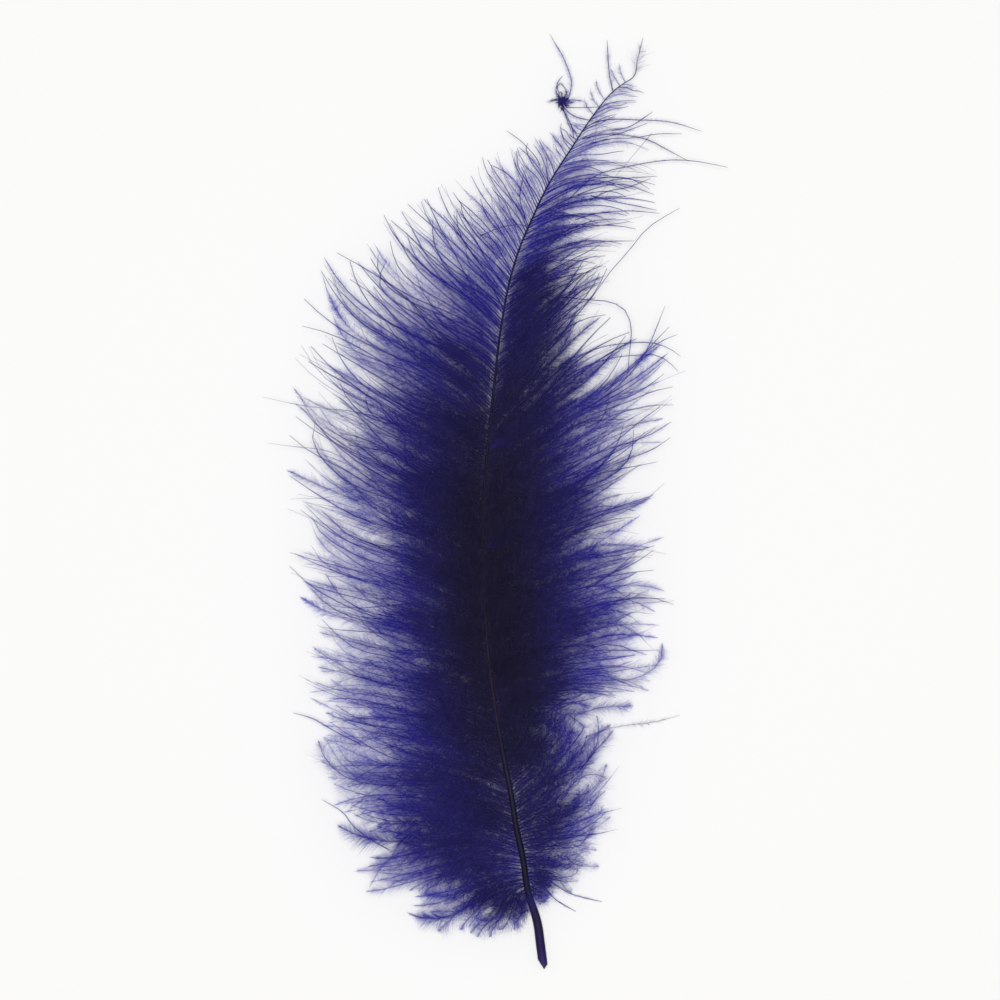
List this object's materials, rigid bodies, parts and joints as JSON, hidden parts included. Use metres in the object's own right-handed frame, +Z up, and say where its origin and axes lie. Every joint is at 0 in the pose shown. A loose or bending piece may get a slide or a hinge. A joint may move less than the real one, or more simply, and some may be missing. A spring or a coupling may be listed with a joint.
{
  "type": "down feather",
  "caption": "Downy plume lying on its side, with a bare pointed quill, a thin curved shaft and long soft barbs fanned out to both sides.",
  "frame": {"origin": "on the table, under the middle of the feather's bounding box", "axes": "+Y from the quill's end to the feather's tip, +X to the right seen from above, +Z up off the table"},
  "size_m": [0.0754, 0.15, 0.0125],
  "materials": {
    "down": "matte dyed down"
  },
  "bodies": {
    "root": {"feather": "down"}
  },
  "joints": []
}
